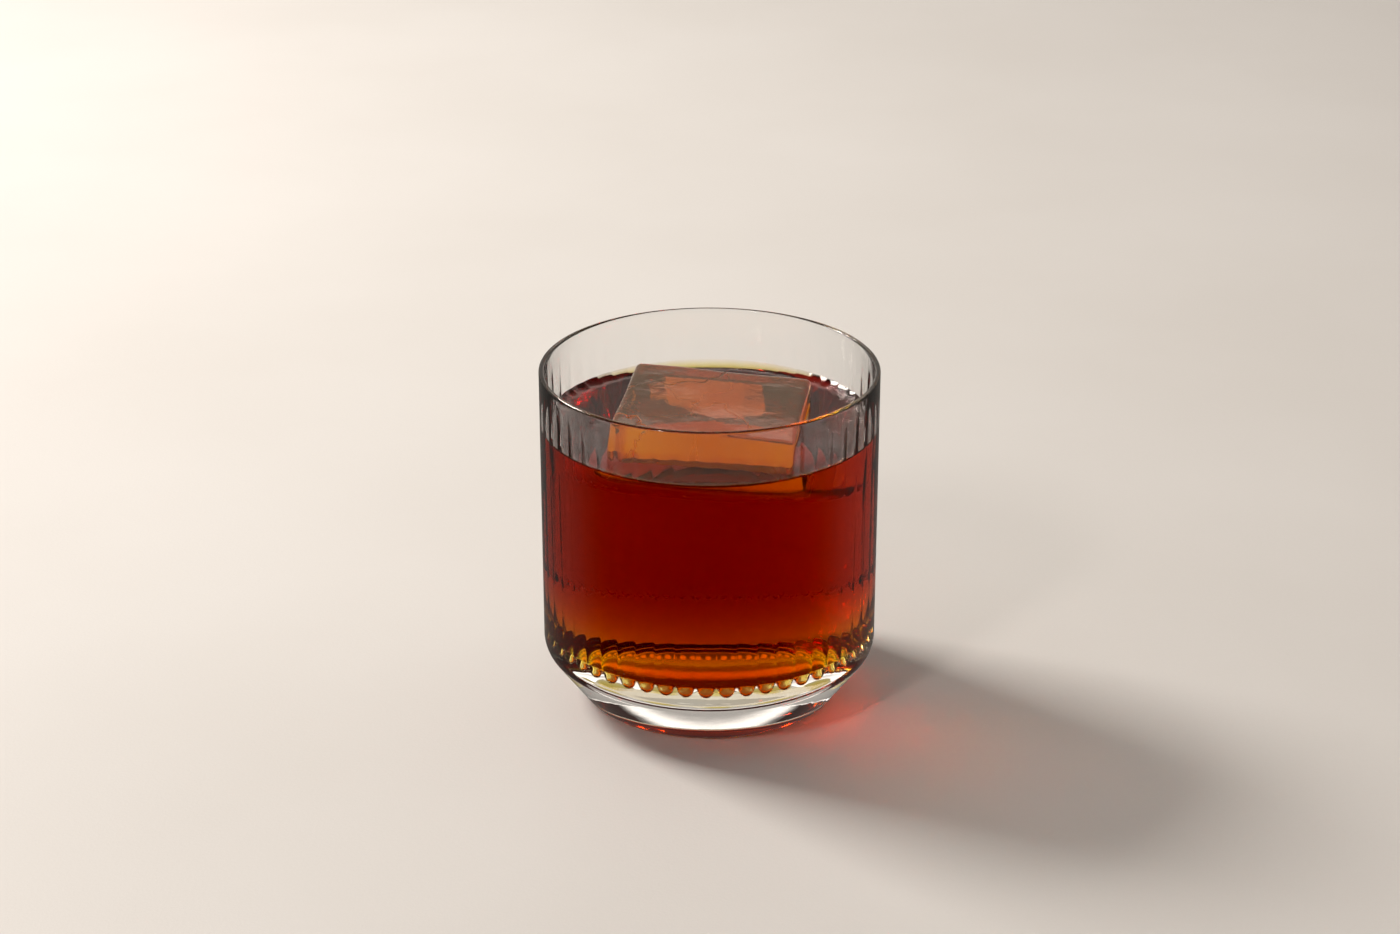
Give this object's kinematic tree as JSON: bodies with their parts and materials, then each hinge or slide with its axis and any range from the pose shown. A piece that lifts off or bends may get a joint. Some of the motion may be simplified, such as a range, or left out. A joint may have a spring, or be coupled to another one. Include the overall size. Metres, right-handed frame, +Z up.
{
  "type": "black russian",
  "caption": "Dark red-amber cocktail round a large clear ice cube, in a straight tumbler with optic ribs inside and a thick coned base.",
  "frame": {"origin": "centre of the foot ring, on the surface that the glass stands on", "axes": "+Z up along the glass's axis, +X to the right and +Y away from someone facing it"},
  "size_m": [0.085, 0.085, 0.087],
  "materials": {
    "glass": "clear polished",
    "drink": "dark red-amber liquid",
    "ice": "clear, melted smooth"
  },
  "bodies": {
    "root": {"glass": "glass", "drink": "drink", "ice": "ice"}
  },
  "joints": []
}
